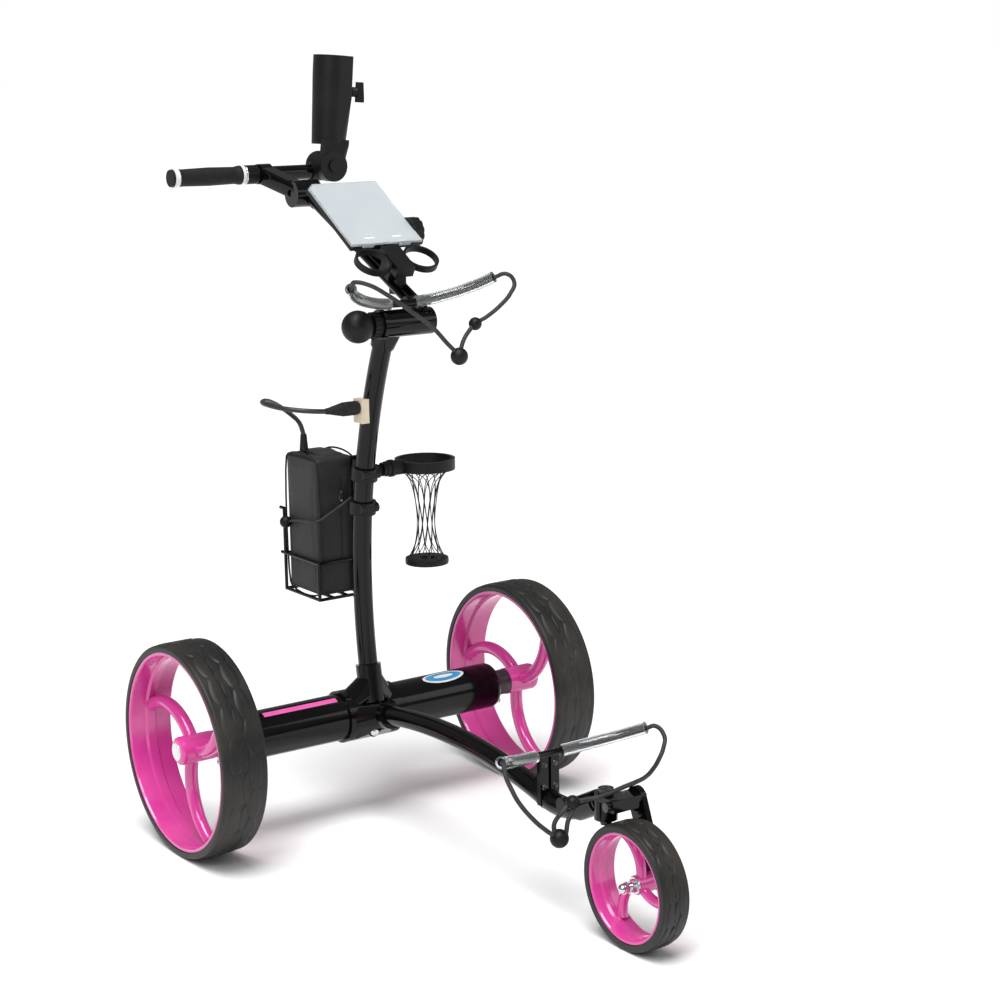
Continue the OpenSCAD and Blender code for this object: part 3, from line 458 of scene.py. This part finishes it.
bag.data.materials.append(bag_nylon)
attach(bag, "battery")
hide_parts("battery_bag")


def as_mesh(piece, body):
    """A finished curve becomes a mesh that rides like any other sewn-on piece."""
    bpy.ops.object.select_all(action="DESELECT")
    piece.select_set(True)
    bpy.context.view_layer.objects.active = piece
    bpy.ops.object.convert(target="MESH")
    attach(piece, body)


for name, x in (("bag_piping_right", 31.6), ("bag_piping_left", -31.6)):
    corners = []
    seam_corners = (
        (-148, 316.8, 1, 1), (-61, 316.8, -1, 1),
        (-61, 518, -1, -1), (-148, 518, 1, -1),
    )
    for y, z, round_y, round_z in seam_corners:
        first, second = (y, z + 7 * round_z), (y + 7 * round_y, z)
        pair = (first, second) if round_y * round_z > 0 else (second, first)
        corners += [place(x, *p) for p in pair]
    as_mesh(curve_piece(name, corners, 0.0014, soft_black, closed=True), "battery")

# The top flap is quilted foam under the same nylon, stitched down at both ends.
bpy.ops.object.select_all(action="DESELECT")
bpy.ops.mesh.primitive_grid_add(x_subdivisions=20, y_subdivisions=30, size=1)
flap = bpy.context.object
flap.name = "bag_top_flap"
flap_middle = place(-3, -104, 518.4)
for vertex in flap.data.vertices:
    u, v = vertex.co.x * 2, vertex.co.y * 2
    crown = max(0.0, (1 - u ** 6) * (1 - v ** 6)) * (0.0065 + 0.0012 * math.cos(6 * v))
    vertex.co = flap_middle + Vector((u * 0.021, v * 0.034, crown))
shell = flap.modifiers.new("thickness", "SOLIDIFY")
shell.thickness = 0.0015
bpy.ops.object.modifier_apply(modifier="thickness")
bpy.ops.object.shade_smooth()
flap.data.materials.append(bag_nylon)
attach(flap, "battery")

# A coil zip with a plated slider runs down the front panel.
zip_teeth = []
for k in range(34):
    bpy.ops.object.select_all(action="DESELECT")
    bpy.ops.mesh.primitive_cube_add(size=0.0022, location=place(-6 + (-1) ** k * 0.9, -58.7, 372 + k * 3.6))
    tooth = bpy.context.object
    tooth.scale = (1.2, 0.7, 0.8)
    bpy.ops.object.transform_apply(location=True, rotation=True, scale=True)
    tooth_edge = tooth.modifiers.new("tooth_edge", "BEVEL")
    tooth_edge.width, tooth_edge.segments = 0.0003, 1
    bpy.ops.object.modifier_apply(modifier="tooth_edge")
    zip_teeth.append(tooth)
bpy.ops.object.select_all(action="DESELECT")
for tooth in zip_teeth:
    tooth.select_set(True)
bpy.context.view_layer.objects.active = zip_teeth[0]
bpy.ops.object.join()
zip_chain = bpy.context.object
zip_chain.name = "zip_chain"
zip_chain.data.materials.append(soft_black)
bpy.ops.object.select_all(action="DESELECT")
bpy.ops.mesh.primitive_cylinder_add(vertices=32, radius=0.0035, depth=0.0014, location=place(-6, -57.2, 462),
                                    rotation=(math.radians(90), 0, 0))
puller = bpy.context.object
puller.name = "zip_puller"
bpy.ops.object.transform_apply(location=True, rotation=True, scale=True)
for vertex in puller.data.vertices:
    vertex.co.z = place(0, 0, 462).z + (vertex.co.z - place(0, 0, 462).z) * 2.3
puller_edge = puller.modifiers.new("puller_edge", "BEVEL")
puller_edge.width, puller_edge.segments = 0.0003, 2
bpy.ops.object.modifier_apply(modifier="puller_edge")
puller.data.materials.append(plated)
for piece, slot in ((zip_chain, "bag_fabric"), (puller, "bright_steel")):
    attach(piece, "battery")

# ---- drinks net ---------------------------------------------------------------------------
# Knotted cord netting hangs from the ring, draws in to a waist and spreads to a moulded base
# with a drain hole. Crossing strands make the diamonds.
net_profile = [(39.5, 501.5), (32, 497), (24.5, 489), (20, 478), (15, 450), (13, 425), (15, 400),
               (20, 382), (27, 369)]
STRANDS, TWIST = 11, math.radians(200)
ring_middle = place(-105, 16, 0)
strands = []
for way in (-1, 1):
    for k in range(STRANDS):
        path = []
        for index, (reach, z) in enumerate(net_profile):
            angle = 2 * math.pi * k / STRANDS + way * TWIST * index / (len(net_profile) - 1) / 2
            path.append(ring_middle + Vector((reach * math.cos(angle), reach * math.sin(angle), z)) / 1000)
        strand = curve_piece(f"net_strand_{'a' if way < 0 else 'b'}{k + 1}", path, 0.0007, sheath)
        strand.data.bevel_resolution = 1
        strands.append(strand)
bpy.ops.object.select_all(action="DESELECT")
for strand in strands:
    strand.select_set(True)
bpy.context.view_layer.objects.active = strands[0]
bpy.ops.object.convert(target="MESH")
bpy.ops.object.join()
netting = bpy.context.object
netting.name = "drinks_netting"
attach(netting, "drinks_holder")
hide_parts("drinks_net")
bpy.ops.object.select_all(action="DESELECT")
bpy.ops.mesh.primitive_torus_add(major_radius=0.0215, minor_radius=0.0105, major_segments=64,
                                 minor_segments=20,
                                 location=ring_middle + Vector((0, 0, 0.365)))
net_base = bpy.context.object
net_base.name = "net_base"
bpy.ops.object.transform_apply(location=True, rotation=True, scale=True)
for vertex in net_base.data.vertices:
    vertex.co.z = 0.365 + max(-0.004, min(0.004, (vertex.co.z - 0.365) * 1.4))
bpy.ops.object.shade_smooth_by_angle(angle=math.radians(40))
net_base.data.materials.append(moulded_black)
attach(net_base, "drinks_holder")
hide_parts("net_base")

# ---- tray knob and bracket screws -----------------------------------------------------------
# A ribbed moulded knob behind the score tray, and domed screws through the lower bracket posts.
bpy.ops.object.select_all(action="DESELECT")
bpy.ops.mesh.primitive_cylinder_add(vertices=36, radius=0.022, depth=0.018, location=place(-95, 10, 843),
                                    rotation=(0, math.radians(90), 0))
tray_knob = bpy.context.object
tray_knob.name = "tray_knob"
bpy.ops.object.transform_apply(location=True, rotation=True, scale=True)
knob_axis = place(-95, 10, 843)
for vertex in tray_knob.data.vertices:
    out = Vector((0, vertex.co.y - knob_axis.y, vertex.co.z - knob_axis.z))
    if round(math.degrees(math.atan2(out.z, out.y)) / 10) % 3 == 0:
        vertex.co -= out * 0.07
knob_edge = tray_knob.modifiers.new("knob_edge", "BEVEL")
knob_edge.width, knob_edge.segments = 0.0015, 3
bpy.ops.object.modifier_apply(modifier="knob_edge")
bpy.ops.object.shade_smooth_by_angle(angle=math.radians(40))
tray_knob.data.materials.append(moulded_black)
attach(tray_knob, "handle")
for index, (x, z) in enumerate(((8.5, 160), (-8.5, 160), (8.5, 190), (-8.5, 190))):
    bpy.ops.object.select_all(action="DESELECT")
    bpy.ops.mesh.primitive_uv_sphere_add(segments=24, ring_count=12, radius=0.0042, location=place(x, 455, z))
    screw = bpy.context.object
    screw.name = f"bracket_screw_{index + 1}"
    bpy.ops.object.transform_apply(location=True, rotation=True, scale=True)
    for vertex in screw.data.vertices:
        vertex.co.y = place(0, 455, 0).y + (vertex.co.y - place(0, 455, 0).y) * 0.55
    bpy.ops.object.shade_smooth()
    screw.data.materials.append(dark_steel)
    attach(screw, "chassis")

# ---- lid edge and lid marks -----------------------------------------------------------------
# A clear moulded bead runs round the frosted lid, and two pale finger bars stand near its
# lower edge.
TRAY_TILT = math.radians(-33)


def on_lid(x, y, z):
    """Millimetres in the lid's own sloping plane, to metres in the frame."""
    return place(x - 29, 50 + y * math.cos(TRAY_TILT) - z * math.sin(TRAY_TILT),
                 835 + y * math.sin(TRAY_TILT) + z * math.cos(TRAY_TILT))


lid_edge = curve_piece("lid_edge", [on_lid(x, y, -1.4) for x, y in (
    (-57.2, -0.8), (57.2, -0.8), (57.2, -132.5), (47.5, -142.2), (-57.2, -142.2))], 0.0016,
    clear_sleeve, closed=True)
for knot in lid_edge.data.splines[0].bezier_points:
    knot.handle_left_type = knot.handle_right_type = "VECTOR"
as_mesh(lid_edge, "lid")
for name, x in (("lid_bar_right", 22), ("lid_bar_left", -22)):
    bpy.ops.object.select_all(action="DESELECT")
    bpy.ops.mesh.primitive_grid_add(x_subdivisions=20, y_subdivisions=6, size=2)
    bar = bpy.context.object
    bar.name = name
    for vertex in bar.data.vertices:
        u, v = vertex.co.x, vertex.co.y
        vertex.co = on_lid(x + 8.5 * u, -13 + 1.9 * v * math.sqrt(max(0.0, 1 - abs(u) ** 5)),
                           0.1 + 0.7 * (1 - u ** 6) * (1 - v ** 4))
    bpy.ops.object.shade_smooth()
    bar.data.materials.append(white_trim)
    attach(bar, "lid")

# ---- dial bezel and plug boot ----------------------------------------------------------------
# A plated ring closes the speed dial's outer end, and moulded ribs make the plug's strain
# relief bend evenly.
def round_rib(name, x, y, z, reach, thick, body, material):
    bpy.ops.object.select_all(action="DESELECT")
    bpy.ops.mesh.primitive_torus_add(major_radius=reach, minor_radius=thick, major_segments=48,
                                     minor_segments=12, location=place(x, y, z),
                                     rotation=(0, math.radians(90), 0))
    rib = bpy.context.object
    rib.name = name
    bpy.ops.object.transform_apply(location=True, rotation=True, scale=True)
    bpy.ops.object.shade_smooth()
    rib.data.materials.append(material)
    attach(rib, body)


round_rib("dial_bezel", 28.6, -250, 920, 0.0128, 0.0014, "speed_dial", plated)
for k in range(5):
    round_rib(f"plug_rib_{k + 1}", 48 + 4.2 * k, 45, 608, 0.0092 - 0.0009 * k, 0.0009, "battery",
              soft_black)

# ---- studio -----------------------------------------------------------------------------------
# A pale sweep and broad soft lamps, with a paler backdrop than the light it gives.
bpy.ops.object.select_all(action="DESELECT")
bpy.ops.mesh.primitive_plane_add(size=400, location=(0, 0, -0.0013))
floor = bpy.context.object
floor.name = "floor"
floor_white = finish("floor_white", (0.93, 0.93, 0.93), (0.92, 0.92, 0.92), (0.7, 0.8), 2, 40, 0.0,
                     Specular_IOR_Level=0.1)
floor.data.materials.append(floor_white)
world = bpy.data.worlds.new("studio")
world.use_nodes = True
bpy.context.scene.world = world
tree = world.node_tree
background = tree.nodes["Background"]
background.inputs["Color"].default_value = (1, 1, 1, 1)
seen, level = tree.nodes.new("ShaderNodeLightPath"), tree.nodes.new("ShaderNodeMapRange")
level.inputs["To Min"].default_value = 0.26
level.inputs["To Max"].default_value = 1.0
tree.links.new(seen.outputs["Is Camera Ray"], level.inputs["Value"])
tree.links.new(level.outputs["Result"], background.inputs["Strength"])
SOFT_LAMPS = (
    ("key_lamp", (2.4, 1.6, 2.6), 1.2, 34),
    ("fill_lamp", (-2.4, 2.2, 1.8), 1.6, 14),
)
for name, where, size, power in SOFT_LAMPS:
    lamp = bpy.data.objects.new(name, bpy.data.lights.new(name, "AREA"))
    bpy.context.scene.collection.objects.link(lamp)
    lamp.data.size, lamp.data.energy = size, power
    lamp.location = where
    lamp.rotation_euler = (Vector((0, 0, 0.4)) - Vector(where)).to_track_quat("-Z", "Y").to_euler()
even = bpy.data.objects.new("even_light", bpy.data.lights.new("even_light", "SUN"))
bpy.context.scene.collection.objects.link(even)
even.data.energy, even.data.angle = 3.15, math.radians(35)
even.rotation_euler = (Vector((0, 0, 0)) - Vector((0.5, 0.4, 2.0))).to_track_quat("-Z", "Y").to_euler()
bpy.context.scene.view_settings.view_transform = "Standard"
